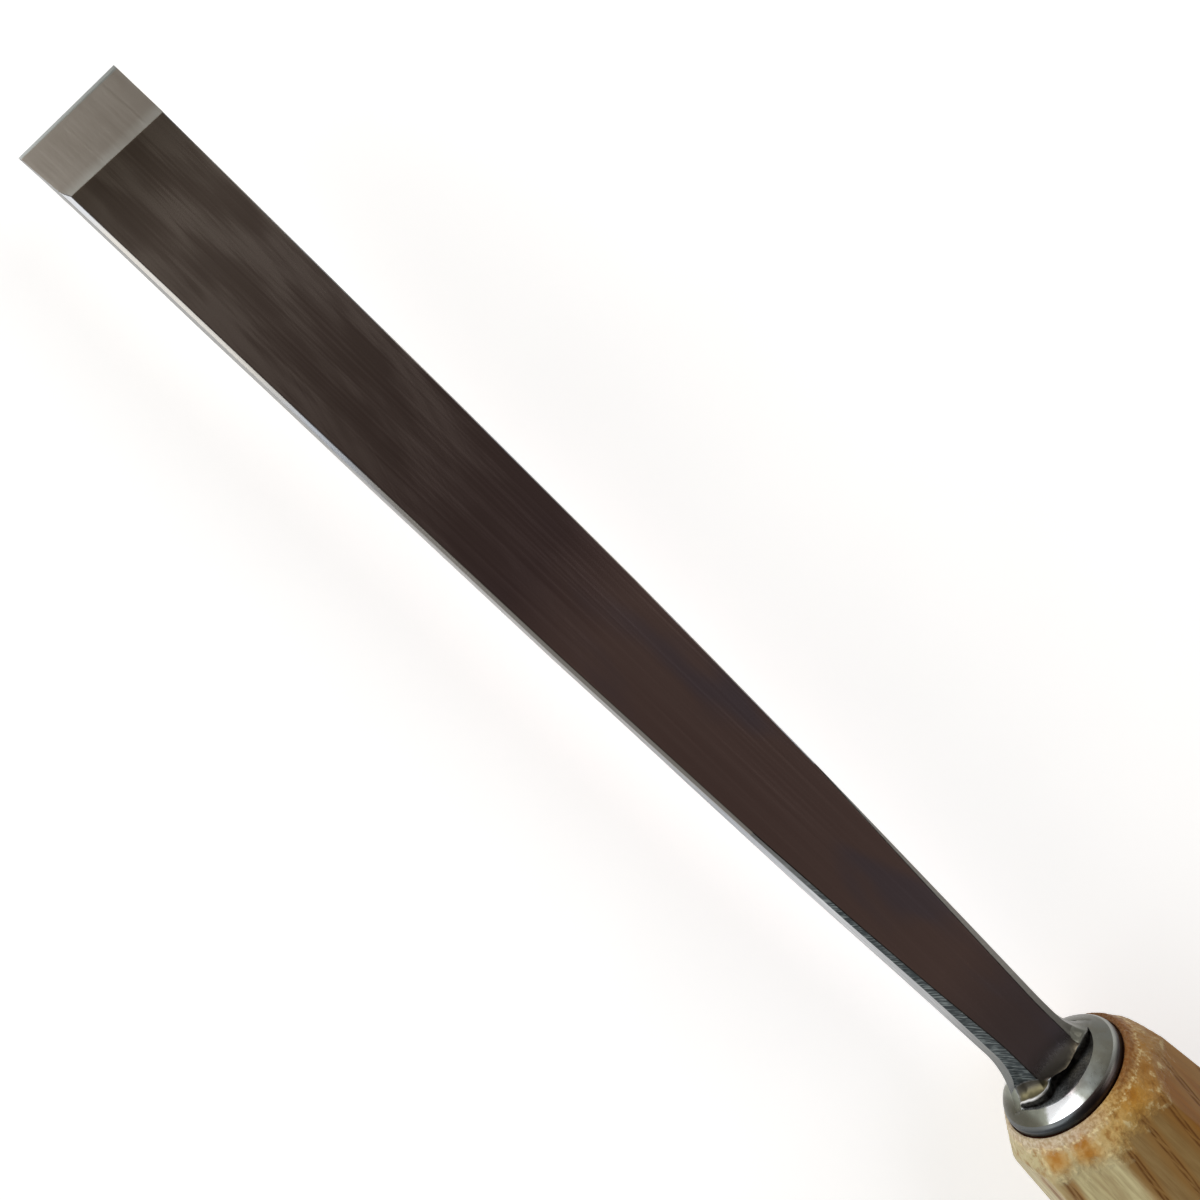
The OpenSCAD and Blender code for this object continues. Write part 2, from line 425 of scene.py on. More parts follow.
def blade_stations():
    """Places along the axis, from the edge to the neck's end."""
    honed = BLADE_LEN - np.array(EDGE_STEPS)
    bevel = np.linspace(BLADE_LEN - BEVEL_FROM_EDGE, HEEL_X + BEVEL_FROM_HEEL, BEVEL_STATIONS)
    heel = HEEL_X + np.array(HEEL_STEPS)
    body = np.linspace(HEEL_X - BODY_FROM_HEEL, NECK_END, BODY_STATIONS)
    return np.concatenate([honed, bevel, heel, body])


def cone_x(radius):
    return COLLAR_T - (radius - BAND_R) * (COLLAR_T - RIM_LEN) / (RIM_R - BAND_R)


def cone_meeting(x, radius, slope):
    """Radius at which a line that climbs from a point towards the collar meets the cone."""
    fall = (COLLAR_T - RIM_LEN) / (RIM_R - BAND_R)
    return (radius + slope * (x - COLLAR_T - fall * BAND_R)) / (1 - slope * fall)


def rim_swell(side):
    """How far the rim stands out; the side runs from minus one on the right to one on the left."""
    return RIM_PROUD + RIM_SWELL * (0.5 + 0.5 * side) ** RIM_SWELL_POWER


def flare(x, azimuth):
    """How far the neck's sides stand out from a straight neck, and how steeply."""
    left = azimuth > 0
    start, arc = (NECK_END, FLARE_LEFT_R) if left else (FLARE_RIGHT_START, FLARE_RIGHT_R)
    share = np.interp(azimuth, FLARE_AZIMUTH, FLARE_SHARE) / arc
    run = np.maximum(start - x, 0)
    return share * run ** 2 / 2, share * run


def neck_fillet(top, slope, lip, opened):
    """Curve from the neck's side to the groove's lip, or to the cone where the groove is closed."""
    lead = FILLET_LEAD * (top[0] - lip[0])
    corner = np.array((top[0] - lead, min(top[1] + slope * lead, lip[1])))
    met = cone_meeting(*top, slope)
    corner += (1 - opened) * ((cone_x(met), min(met, lip[1])) - corner)
    return bend(top, corner, lip, FILLET_POINTS)[1:]


def groove_path(lip, foot, floor, band_r, opened):
    """Places and radii down the groove's wall and up over its floor to the band."""
    end, lip_r = lip
    share = np.linspace(0, 1, GROOVE_POINTS)
    ground_r = foot + FOOT_STEP + (band_r - foot - FOOT_STEP) * share
    radius = np.append((lip_r + WALL_SHARE * (foot - lip_r), foot), ground_r)
    wall_x = (end - WALL_TOP * (end - floor), floor + WALL_LOW * (end - floor))
    x = np.append(wall_x, floor + (cone_x(band_r) - floor) * share ** GROOVE_POWER)
    x += (1 - opened) * (cone_x(radius) - x)
    return np.stack([x, radius], 1)


def root_profile(radius, azimuth, half):
    """Places, radii and azimuths from the neck over flare, fillet and groove to the band."""
    moved = np.interp(azimuth, FOOT_AZIMUTH, FOOT_MOVED)
    keys = [np.interp(moved, ROOT_KEYS[:, 0], column) for column in ROOT_KEYS.T[1:]]
    start, end, lift, notch, step, floor, band_r = keys
    end += JAG * notch * noise.noise(Vector((azimuth * JAG_RATE, 0, 0)))
    opened = between((OPEN_RIGHT, CLOSE_ABOVE if half > 0 else CLOSE_BELOW), moved)
    side_x = np.linspace(NECK_END, start, FLARE_POINTS)[1:]
    side = np.stack([side_x, radius + flare(side_x, moved)[0]], 1)
    lip_r = min(side[-1, 1] + lift, band_r - LIP_GAP)
    closed_x = cone_x(lip_r)
    lip = (closed_x + LIP_RISE + opened * (end - closed_x - LIP_RISE), lip_r)
    floor = closed_x + opened * (floor - closed_x)
    fillet = neck_fillet(side[-1], flare(start, moved)[1], lip, opened)
    closed = (1 - opened) * CLOSED_SHARE * (band_r - lip_r)
    foot = min(lip_r + (step - notch) * opened + closed + FOOT_LEAST, band_r - FOOT_GAP)
    path = np.concatenate([side, fillet, groove_path(lip, foot, floor, band_r, opened)])
    progress = ((NECK_END - side_x) / (NECK_END - start)) ** FOOT_MOVE_POWER
    turn = np.append(azimuth + (moved - azimuth) * progress, np.full(len(path) - len(side), moved))
    return np.column_stack([path, turn])


def collar_profile(azimuth):
    """Places and radii of the band, the rounded rim and the seat."""
    band_r = np.interp(azimuth, ROOT_KEYS[:, 0], ROOT_KEYS[:, -1])
    swell = rim_swell(math.sin(math.radians(azimuth)))
    rim_r = RIM_R + swell
    share = np.linspace(0, 1, BAND_POINTS)[1:]
    radius = band_r + (BAND_END_R + swell - band_r) * share
    band_x = cone_x(radius - swell * share) + BAND_BULGE * np.sin(math.pi * share)
    band = np.stack([band_x, radius], 1)
    rim = bend(band[-1], (RIM_LEN, rim_r), (RIM_BEND_END, rim_r), RIM_POINTS)[1:]
    seat = np.array([(SEAT_EDGE, rim_r), (0, rim_r - SEAT_EDGE)])
    path = np.concatenate([band, rim, seat])
    return np.column_stack([path, np.full(len(path), azimuth)])


def square_radius(half, azimuth):
    """Distance from the axis to a square's side, by azimuth."""
    return half / np.maximum(np.abs(np.sin(azimuth)), np.abs(np.cos(azimuth)))


def polar_ring(x, radius, azimuth):
    x = np.broadcast_to(x, azimuth.shape)
    return np.stack([x, radius * np.sin(azimuth), radius * np.cos(azimuth)], 1)


def section_ring(x, section):
    """Ring of a section; the bevel is longer on the right side, so its rings stand a little askew."""
    skew = np.interp(x, (SKEW_START, HEEL_X, BLADE_LEN), (0, HEEL_SKEW, EDGE_SKEW))
    right = 0.5 - section[:, 0] / (2 * half_width(x))
    return np.column_stack([x + skew * right, section])


def profile_rings(profile, half, *arguments):
    """Rings through a profile's places, radii and azimuths; half is one above and minus one below."""
    rows = np.array([profile(*values) for values in zip(*arguments)])
    x, radius, turn = rows[:, :, 0], rows[:, :, 1], np.radians(rows[:, :, 2])
    points = np.stack([x, radius * np.sin(turn), half[:, None] * radius * np.cos(turn)], 2)
    return list(points.transpose(1, 0, 2))


def blade_rings():
    """Rings from the cutting edge to the tang's end, and azimuths of the points on the collar."""
    blade = [section_ring(x, blade_section(x)) for x in blade_stations()]
    neck = blade[-1]
    half = np.where(neck[:, 2] < 0, -1, 1)
    folded = np.degrees(np.arctan2(neck[:, 1], np.abs(neck[:, 2])))
    turns = np.interp(folded, FOOT_AZIMUTH, FOOT_MOVED)
    root = profile_rings(root_profile, half, np.hypot(neck[:, 1], neck[:, 2]), folded, half)
    collar = profile_rings(collar_profile, half, turns)
    azimuth = np.arctan2(collar[-1][:, 1], collar[-1][:, 2])
    tang = [
        polar_ring(0, square_radius(TANG_HALF, azimuth), azimuth),
        polar_ring(-TANG_LEN, square_radius(TANG_END_HALF, azimuth), azimuth),
    ]
    return blade, root, collar, tang, turns


def root_masks(row, turns):
    """Masks on one ring of the neck's root: painted reflection in the scoop, painted highlight on its
    edge, lip, and grimy painted shade.
    """
    climbed = np.clip((row - GROUND_ROW) / GROOVE_POINTS, 0, 1)
    filleted = (row - FILLET_ROW) / FILLET_POINTS
    scoop = between(SCOOP_FADES, turns)
    grime_and_shade = between(GRIME_SHADE_FADES, turns) * smooth_step(*GRIME_SHADE_CLIMB, climbed) * (row >= WALL_ROW)
    lip = between(LIP_FADES, turns) * smooth_step(*LIP_CLIMB, filleted)
    return {
        "scoop_reflection": scoop * (FILLET_ROW <= row < WALL_ROW),
        "shine": scoop * (WALL_ROW - 1 <= row <= WALL_ROW),
        "lip": lip * (row < WALL_ROW),
        "grime_and_shade": np.ones(len(turns)) if row < FILLET_ROW else grime_and_shade,
    }


def blade_masks(blade, root, collar, tang, turns):
    """Values of each mask, ring by ring; where a ring names none, they are nought."""
    none = np.zeros(len(turns))
    # Where the band's flanks take a painted reflection and more roughness.
    flank_reflection = np.maximum(smooth_step(*FLANK_LEFT, turns), smooth_step(*FLANK_RIGHT, turns))
    # Every blade row is marked for grimy painted shade; only the neck's rounded corners use it.
    rows = [{"grime_and_shade": none + 1}] * len(blade)
    rows += [{"dull_and_reflection": flank_reflection, **root_masks(row, turns)} for row in range(len(root))]
    for row in range(len(collar) + len(tang)):
        # Painted highlight on the rim's shoulder, fading over its first rows
        wear_and_sheen = smooth_step(1, 0, (row - RIM_DARK_ROW) / SHEEN_ROWS)
        rows.append({"dull_and_reflection": flank_reflection, "wear_and_sheen": none + wear_and_sheen})
    return {key: [row.get(key, none) for row in rows] for key in MASKS}


def half_zones():
    """What each strip of the upper half section is: side, corner or face."""
    right = ["side"] * (SIDE_POINTS - 1) + ["cut"] * (CUT_POINTS + ROUND_POINTS - 2)
    right += ["round"] * (ROUND_POINTS - 1)
    return right + ["face"] * (FACE_POINTS - 1) + right[::-1]


def station_zones(x):
    """Materials of the strips that end at a station of the blade."""
    if x < NECK_CUT_START:
        return NECK_ZONES
    return BEVEL_ZONES if x > HEEL_X - BEVEL_SLACK else BODY_ZONES


def root_zone(zone, turn, filleted, groove_left):
    """Material at the neck's root; the fillet runs from nought to one and the groove follows it."""
    if filleted < 0:
        return NECK_ZONES[zone]
    if filleted >= 1:
        return "root_steel" if GROOVE_RIGHT < turn < groove_left else "band_steel"
    if zone == "face":
        eaten = (turn - SCOOP_AZIMUTH) / (SCOOP_CORNER - SCOOP_AZIMUTH)
        return "root_steel" if filleted > 1 - eaten else "face_steel"
    return "band_steel" if zone == "side" or turn < 0 else "root_steel"


def blade_zones(root, collar, tang, turns):
    """Material of each face of the blade, row by row and then for the caps."""
    half = half_zones()
    zones = half + half[::-1]
    rows = []
    for x in blade_stations()[1:]:
        names = station_zones(x)
        rows += [names[zone] for zone in zones]
    ahead = np.append(turns, turns[0])[1:]
    ends = [np.mean(CLOSE_ABOVE)] * len(half) + [np.mean(CLOSE_BELOW)] * len(half)
    for row in range(len(root)):
        filleted = (row - FILLET_ROW) / (FILLET_POINTS - 1)
        rows += [root_zone(zone, turn, filleted, end) for zone, turn, end in zip(zones, ahead, ends)]
    for row in range(len(collar)):
        rows += ["rim_steel" if row >= RIM_DARK_ROW else "band_steel"] * len(zones)
    rows += ["tang_steel"] * (len(zones) * len(tang))
    return rows + ["bevel_steel"] * len(zones) + ["tang_steel"] * len(zones)


def add_blade():
    blade, root, collar, tang, turns = blade_rings()
    masks = blade_masks(blade, root, collar, tang, turns)
    piece = ring_mesh("forged_blade", [*blade, *root, *collar, *tang], masks)
    makers = (
        face_steel, bevel_steel, strip_steel, side_steel, neck_steel,
        root_steel, band_steel, rim_steel, tang_steel,
    )
    slots = {maker.__name__: index for index, maker in enumerate(makers)}
    for maker in makers:
        piece.data.materials.append(maker())
    rows = blade_zones(root, collar, tang, turns)
    piece.data.polygons.foreach_set("material_index", [slots[name] for name in rows])
    piece.data.set_sharp_from_angle(angle=BLADE_SHARP)
    return piece


# Handle

def flat_reach(x):
    """Distance from the axis to the flats: two arcs that meet at the swell."""
    front = x > SWELL_X
    run = -SWELL_X if front else HANDLE_LEN + SWELL_X
    sag = SWELL_HALF - (FRONT_HALF if front else BUTT_HALF)
    arc = (run ** 2 + sag ** 2) / (2 * sag)
    return SWELL_HALF - arc + math.sqrt(arc ** 2 - (x - SWELL_X) ** 2)


def butt_limit(x):
    """Radius of the rounded butt, which takes the ridges' height where it starts."""
    if x >= BUTT_START:
        return math.inf
    full = flat_reach(BUTT_START) / math.cos(FLAT_STEP / 2)
    return full - BUTT_ROUND + math.sqrt(max(0, BUTT_ROUND ** 2 - (BUTT_START - x) ** 2))


def soft_least(a, b, blend):
    """The lesser of two values, with a small rounding where they meet."""
    share = np.clip(0.5 + (b - a) / (2 * blend), 0, 1)
    return b + (a - b) * share - blend * share * (1 - share)


def handle_radius(x, azimuth):
    """Radius of the eased flats, trimmed by cone and butt, and the flats' height over the cone."""
    total = np.zeros_like(azimuth)
    for index in range(FLAT_COUNT):
        cosine = np.maximum(np.cos(azimuth - HANDLE_TURN - index * FLAT_STEP), 0)
        total += cosine ** RIDGE_SHARPNESS
    full = FRONT_FULL * smooth_step(*FULL_REACH, x) * np.maximum(np.sin(azimuth), 0) ** FULL_POWER
    flats = (flat_reach(x) + full) / total ** (1 / RIDGE_SHARPNESS)
    cone = RIM_R + FRONT_LIP - x * CONE_RISE
    turned = min(cone, butt_limit(x))
    return soft_least(flats, turned, CONE_BLEND), flats - cone


def rough_ring(ring, normal, amount):
    """Pushes a ring of torn end grain in and out along a direction."""
    height = np.zeros(len(ring))
    for scale, octaves, share in LUMPS:
        lumps = [noise.fractal(Vector(point) * scale, LUMP_FALL, LUMP_STEP, octaves) for point in ring]
        height += share * np.array(lumps)
    return ring + normal * (amount * height)[:, None]


def socket_rings(azimuth):
    """Rings of the tang's socket and of the recess for the inner ring, from the inside out."""
    ring_r, ring_len = RING_HIGH[1] + RING_GAP, RING_GAP - RING_LOW[0]
    bore_r = RING_BORE_R - RING_GAP
    places = (
        (-TANG_LEN - SOCKET_GAP, square_radius(TANG_END_HALF + SOCKET_GAP, azimuth)),
        (0, square_radius(TANG_HALF + SOCKET_GAP, azimuth)),
        (0, bore_r),
        (-ring_len, bore_r),
        (-ring_len, ring_r),
        (0, ring_r),
    )
    return [polar_ring(x, radius, azimuth) for x, radius in places]


def lip_rings(azimuth):
    """Rings of the front lip from the seam outward, and how far each point lies in the seam."""
    swell = rim_swell(np.sin(azimuth))
    rings, seam_shade = [], []
    for share in np.linspace(0, 1, LIP_RINGS):
        beyond = LIP_START + (FRONT_LIP - swell + LIP_SPARE) * share
        in_seam = smooth_step(SEAM_W, SEAM_FLOOR_W, beyond)
        crust = LIP_CRUST * smooth_step(*LIP_CRUST_REACH, beyond)
        ring = polar_ring(-SEAM_DEPTH * in_seam, RIM_R + swell + beyond, azimuth)
        rings.append(rough_ring(ring, FORWARD, crust))
        seam_shade.append(in_seam)
    return rings, seam_shade


def body_rings(azimuth):
    """Rings of the front cone, the flats and the rounded butt."""
    outward = np.column_stack([np.zeros(AROUND), np.sin(azimuth), np.cos(azimuth)])
    front = np.linspace(0, -CONE_REACH, CONE_RINGS)[1:]
    body = np.linspace(-CONE_REACH, BUTT_START, BODY_RINGS)[1:]
    turn = np.linspace(0, math.pi / 2, BUTT_RINGS)[1:]
    butt = BUTT_START - BUTT_ROUND * np.sin(turn)
    rings = []
    for x in np.concatenate([front, body, butt]):
        radius, proud = handle_radius(x, azimuth)
        on_cone = smooth_step(*CONE_CRUST_REACH, proud)
        ring = polar_ring(x, radius, azimuth)
        rings.append(rough_ring(ring, outward, CONE_CRUST * on_cone) if on_cone.any() else ring)
    return rings


def add_handle():
    azimuth = np.linspace(0, 2 * math.pi, AROUND, endpoint=False)
    socket, body = socket_rings(azimuth), body_rings(azimuth)
    lip, lip_seam = lip_rings(azimuth)
    # Share of painted shade: full in the socket, and on the lip as deep as the gap goes
    seam_shade = [np.ones(AROUND)] * len(socket) + lip_seam + [np.zeros(AROUND)] * len(body)
    piece = ring_mesh("ash_handle", socket + lip + body, {"seam_shade": seam_shade})
    piece.data.materials.append(ash_wood())
    piece.data.set_sharp_from_angle(angle=HANDLE_SHARP)
    return piece


# Materials

class Nodes:
    """Nodes of a material or a world; sockets given as inputs are linked, plain values are set."""

    def __init__(self, owner):
        owner.use_nodes = True
        self.owner = owner
        self.tree = owner.node_tree

    def put(self, socket, value):
        if isinstance(value, bpy.types.NodeSocket):
            self.tree.links.new(value, socket)
        else:
            socket.default_value = value

    def add(self, kind, inputs=None, **settings):
        node = self.tree.nodes.new("ShaderNode" + kind)
        for name, value in settings.items():
            setattr(node, name, value)
        for key, value in (inputs or {}).items():
            self.put(node.inputs[key], value)
        return node

    def math(self, operation, *values):
        return self.add("Math", dict(enumerate(values)), operation=operation).outputs[0]

    def plus(self, first, second):
        return self.math("ADD", first, second)

    def minus(self, first, second):
        return self.math("SUBTRACT", first, second)

    def times(self, first, second):
        return self.math("MULTIPLY", first, second)

    def vector(self, operation, first, second):
        return self.add("VectorMath", {0: first, 1: second}, operation=operation)

    def ramp(self, factor, stops):
        """Colour by a factor, from pairs of a position and a colour."""
        node = self.add("ValToRGB", {0: factor})
        elements = node.color_ramp.elements
        while len(elements) < len(stops):
            elements.new(0.5)
        for element, (position, colour) in zip(elements, stops):
            element.position = position
            element.color = colour
        return node.outputs["Color"]


class Material(Nodes):
    """Nodes of one material, which takes its patterns from places on the object."""

    def __init__(self, name):
        super().__init__(bpy.data.materials.new(name))
        self.surface = self.tree.nodes["Principled BSDF"]
        self.object = self.add("TexCoord").outputs["Object"]

    def place(self, along, across, up):
        """Place on the object in millimetres, times a scale for each axis."""
        return self.vector("MULTIPLY", self.object, (along / MM, across / MM, up / MM)).outputs[0]

    def axis(self, name):
        """One coordinate in millimetres."""
        return self.add("SeparateXYZ", {0: self.place(1, 1, 1)}).outputs[name]

    def noise(self, vector, detail, roughness=0.5):
        inputs = {"Vector": vector, "Scale": 1, "Detail": detail, "Roughness": roughness}
        return self.add("TexNoise", inputs).outputs["Fac"]

    def line_noise(self, value):
        inputs = {"W": value, "Scale": 1, "Detail": 2}
        return self.add("TexNoise", inputs, noise_dimensions="1D").outputs["Fac"]

    def fit(self, value, low, high, to_low=0, to_high=1):
        """Smooth change of a value from one range to another."""
        inputs = {"Value": value, "From Min": low, "From Max": high, "To Min": to_low, "To Max": to_high}
        return self.add("MapRange", inputs, interpolation_type="SMOOTHSTEP").outputs["Result"]

    def mask(self, name):
        return self.add("Attribute", attribute_name=name).outputs["Fac"]

    def mix(self, factor, first, second):
        node = self.add("Mix", data_type="RGBA")
        for index, value in ((0, factor), (6, first), (7, second)):
            self.put(node.inputs[index], value)
        return node.outputs[2]

    def bump(self, height, depth, normal=None):
        """Bump whose height of one stands for a depth in millimetres."""
        inputs = {"Height": height, "Distance": depth * MM, "Strength": 1}
        if normal is not None:
            inputs["Normal"] = normal
        return self.add("Bump", inputs).outputs["Normal"]

    def finish(self, **inputs):
        for name, value in inputs.items():
            self.put(self.surface.inputs[name.replace("_", " ")], value)
        return self.owner

    def metal(self, colour, rough, normal):
        return self.finish(Base_Color=colour, Metallic=1, Roughness=rough, Normal=normal)


# Blade's face: middle of the honing arcs, fades along the axis, and tones by shares of the length
ARC_CENTRE = (138, 130, 0)
ARC_FADE = (50, 128)
PATCH_FADE = (90, 55)
FACE_ROOT = (6.5, 3.2)
FACE_TONES = tones(
    (0.03, 160, 150, 156), (0.08, 178, 162, 164), (0.14, 212, 186, 180), (0.5, 226, 199, 190),
    (0.57, 186, 164, 162), (0.7, 186, 170, 162), (0.9, 222, 212, 200), (0.95, 178, 168, 154),
)


def honing_arcs(s, along):
    """Broad and fine curved scratches, broken here and there, that fade away from the heel."""
    from_centre = s.vector("DISTANCE", s.place(1, 1, 0), ARC_CENTRE).outputs["Value"]
    broad = s.line_noise(s.times(from_centre, 1.3))
    fine = s.line_noise(s.times(from_centre, 6))
    broken = s.fit(s.noise(s.place(0.09, 0.35, 0), 2), 0.35, 0.7)
    return s.times(s.plus(broad, fine), s.times(s.fit(along, *ARC_FADE), broken))


def face_steel():
    """Polished face: honing arcs, polishing lines, faint blue patches and beige scratches at the root,
    partly a painted reflection.
    """
    s = Material("face_steel")
    along = s.axis("X")
    arcs = honing_arcs(s, along)
    lines = s.noise(s.place(0.03, 4, 0), 4)
    cloud = s.fit(s.noise(s.place(0.05, 0.16, 0), 2), 0.52, 0.7)
    patches = s.times(cloud, s.fit(along, *PATCH_FADE, 0, 0.5))
    shine = s.ramp(s.math("DIVIDE", along, BLADE_LEN), FACE_TONES)
    clean = s.mix(patches, shine, srgb(172, 176, 204))
    root = s.fit(along, *FACE_ROOT)
    wear_and_sheen = s.mix(root, clean, srgb(94, 87, 79))
    broken = s.fit(s.noise(s.place(1.2, 2.5, 0), 3), 0.35, 0.6, 0.4, 1)
    # Beige scratches along the root: partly a painted reflection of the bright horizon.
    scratches_and_reflection = s.times(s.mask("lip"), broken)
    colour = s.mix(scratches_and_reflection, wear_and_sheen, srgb(196, 184, 160))
    rough = s.fit(s.plus(lines, s.times(arcs, 0.6)), 0.3, 1.1, 0.16, 0.26)
    rough = s.plus(rough, s.times(root, 0.12))
    rough = s.plus(rough, s.times(scratches_and_reflection, 0.3))
    return s.metal(colour, rough, s.bump(lines, 0.0003, s.bump(arcs, 0.0022)))


# Bevel: softness of the honed line, and reach of the light heel
HONED_FADE = 0.05
HEEL_LIGHT = 1.2


def bevel_steel():
    """Ground bevel with fine lines, lighter at its heel, and a honed line at the edge."""
    s = Material("bevel_steel")
    lines = s.noise(s.place(0.12, 5, 0.12), 4)
    cloud = s.noise(s.place(0.3, 0.2, 0.2), 2)
    along = s.axis("X")
    line_x = BLADE_LEN - HONED_LEN
    honed = s.fit(along, line_x - HONED_FADE, line_x + HONED_FADE)
    heel = s.times(s.fit(along, HEEL_X + HEEL_LIGHT, HEEL_X), s.fit(cloud, 0.3, 0.7, 0.5, 1))
    base = s.mix(cloud, srgb(158, 150, 140), srgb(174, 168, 160))
    base = s.mix(heel, base, srgb(194, 194, 188))
    colour = s.mix(honed, base, srgb(160, 164, 162))
    return s.metal(colour, s.fit(lines, 0.3, 0.7, 0.29, 0.36), s.bump(lines, 0.0004))


def strip_steel():
    """Eased corners, polished along the axis."""
    s = Material("strip_steel")
    lines = s.noise(s.place(0.06, 6, 6), 4)
    stain = s.fit(s.noise(s.place(0.06, 0.3, 0.3), 3), 0.45, 0.7)
    colour = s.mix(stain, srgb(152, 149, 144), srgb(142, 147, 155))
    return s.metal(colour, s.fit(lines, 0.3, 0.7, 0.16, 0.26), s.bump(lines, 0.0015))


# Blade's sides: tones over a reach along the axis, and the dull foot of the right one
SIDE_REACH = (5, 85)
SIDE_TONES = tones(
    (0, 120, 122, 120), (0.05, 178, 180, 182), (0.3, 204, 207, 210), (0.55, 152, 159, 168),
    (0.8, 132, 133, 131),
)
SIDE_FOOT = (14, 6)
SIDE_FOOT_RIGHT = (0, -2)


def side_steel():
    """Narrow sides: darker in front, lighter towards the neck, dark at the right one's foot."""
    s = Material("side_steel")
    lines = s.noise(s.place(0.06, 4, 4), 4)
    along = s.axis("X")
    tone = s.ramp(s.fit(along, *SIDE_REACH), SIDE_TONES)
    foot = s.times(s.fit(along, *SIDE_FOOT, 0, 0.85), s.fit(s.axis("Y"), *SIDE_FOOT_RIGHT))
    tone = s.mix(foot, tone, srgb(84, 82, 75))
    colour = s.mix(s.fit(lines, 0.3, 0.7, 0, 0.3), tone, srgb(110, 112, 114))
    return s.metal(colour, s.fit(lines, 0.3, 0.7, 0.25, 0.38), s.bump(lines, 0.002))


# Neck's corners: change from right to left, the right one's dark foot, fade in front, and the marks
NECK_LEFT = (-1, 1)
NECK_FOOT = (15, 5)
NECK_FADE = (NECK_CUT_START - 11, NECK_CUT_START - 1)
MARK_SLANT = 0.8
MARK_RATE = 4.6


def neck_steel():
    """Ground corners of the neck: dark with slanting marks on the left, plain on the right."""
    s = Material("neck_steel")
    x, y = s.axis("X"), s.axis("Y")
    wander = s.times(s.noise(s.place(0.5, 0.9, 0.9), 2), 0.35)
    slanted = s.minus(s.plus(x, wander), s.times(y, MARK_SLANT))
    across_marks = s.add("CombineXYZ", {"X": s.times(slanted, MARK_RATE), "Y": y}).outputs[0]
    marks = s.noise(across_marks, 3)
    stripe = s.fit(marks, 0.46, 0.68)
    dark = s.mix(stripe, srgb(62, 68, 70), srgb(128, 136, 136))
    plain = s.mix(stripe, srgb(112, 109, 103), srgb(132, 128, 122))
    plain = s.mix(s.fit(x, *NECK_FOOT, 0, 0.9), plain, srgb(80, 78, 71))
    left = s.fit(y, *NECK_LEFT)
    colour = s.mix(s.fit(x, *NECK_FADE), s.mix(left, plain, dark), srgb(128, 129, 128))
    return s.metal(colour, s.fit(marks, 0.3, 0.7, 0.3, 0.46), s.bump(s.times(marks, left), 0.04))


# Neck's root: where it darkens on the right, and where the painted reflection in the scoop changes tone
ROOT_RIGHT = (-2, -4)
REFLECTION_CHANGE = (3.6, 2.8)


def root_steel():
    """Scooped end of the neck's corners, with a painted reflection in the scoop and a painted highlight
    on its edge, and the groove in front of the band, darkened with grimy painted shade that also draws a
    shadow line along the neck's rounded corners.
    """
    s = Material("root_steel")
    forged = s.noise(s.place(1.8, 1.8, 1.8), 4, 0.6)
    scratches = s.noise(s.place(1, 4, 4), 4)
    scoop_reflection = s.mask("scoop_reflection")
    steel = s.mix(s.fit(scratches, 0.35, 0.65), srgb(132, 138, 142), srgb(190, 194, 196))
    steel = s.mix(s.fit(s.axis("Y"), *ROOT_RIGHT, 0, 0.85), steel, srgb(98, 96, 88))
    # Olive-gold tones in the scoop: a painted reflection.
    reflection_tone = s.mix(s.fit(s.axis("X"), *REFLECTION_CHANGE), srgb(80, 77, 70), srgb(88, 83, 62))
    scooped = s.mix(scoop_reflection, steel, reflection_tone)
    # Dark tones of the groove and the neck's rounded corners: grime with painted shade.
    grime_and_shade_tone = s.ramp(forged, tones((0.3, 20, 19, 18), (0.7, 70, 68, 64)))
    # Near-white on the scoop's edge: a painted highlight.
    clean = s.mix(s.mask("shine"), scooped, srgb(236, 236, 234))
    colour = s.mix(s.mask("grime_and_shade"), clean, grime_and_shade_tone)
    rugged = s.bump(s.times(forged, s.minus(1, scoop_reflection)), 0.04)
    return s.metal(colour, s.fit(forged, 0.3, 0.7, 0.28, 0.45), s.bump(scratches, 0.006, rugged))


# Collar's band: tones of its flanks from right to left, painted reflections of grey-green surroundings,
# and where they are mottled and uneven
BAND_REACH = (-6.5, 6.5)
FLANK_REFLECTION_TONES = tones(
    (0, 98, 99, 93), (0.16, 114, 114, 104), (0.43, 132, 136, 132), (0.95, 146, 149, 138),
    (0.985, 126, 129, 118), (1, 84, 83, 72),
)
MOTTLE_REACH = (4, -4)
UNEVEN_REACH = (0, 3)


def band_steel():
    """Conical band: bright where polished; rougher on the flanks, where mottled grey-green is a painted
    reflection.
    """
    s = Material("band_steel")
    y = s.axis("Y")
    scratches = s.noise(s.place(0.6, 3.5, 3.5), 4)
    cloud = s.fit(s.noise(s.place(0.7, 0.7, 0.7), 3), 0.38, 0.62)
    # Grey-green flank tones: a painted reflection of darker surroundings.
    flank_reflection = s.ramp(s.fit(y, *BAND_REACH), FLANK_REFLECTION_TONES)
    flank_reflection = s.mix(s.times(cloud, s.fit(y, *MOTTLE_REACH, 0.3, 0.6)), flank_reflection, srgb(96, 94, 84))
    lumps = s.minus(s.noise(s.place(1.3, 1.3, 1.3), 4, 0.6), 0.5)
    uneven = s.times(lumps, s.fit(y, *UNEVEN_REACH, 0.2, 1))
    # Share of the flanks that is rougher and painted with the reflection tones.
    dull_and_reflection = s.fit(s.plus(s.mask("dull_and_reflection"), uneven), 0.1, 0.9)
    colour = s.mix(dull_and_reflection, srgb(220, 222, 224), flank_reflection)
    rough = s.plus(s.fit(scratches, 0.3, 0.7, 0.13, 0.22), s.times(dull_and_reflection, 0.14))
    return s.metal(colour, rough, s.bump(scratches, 0.006))


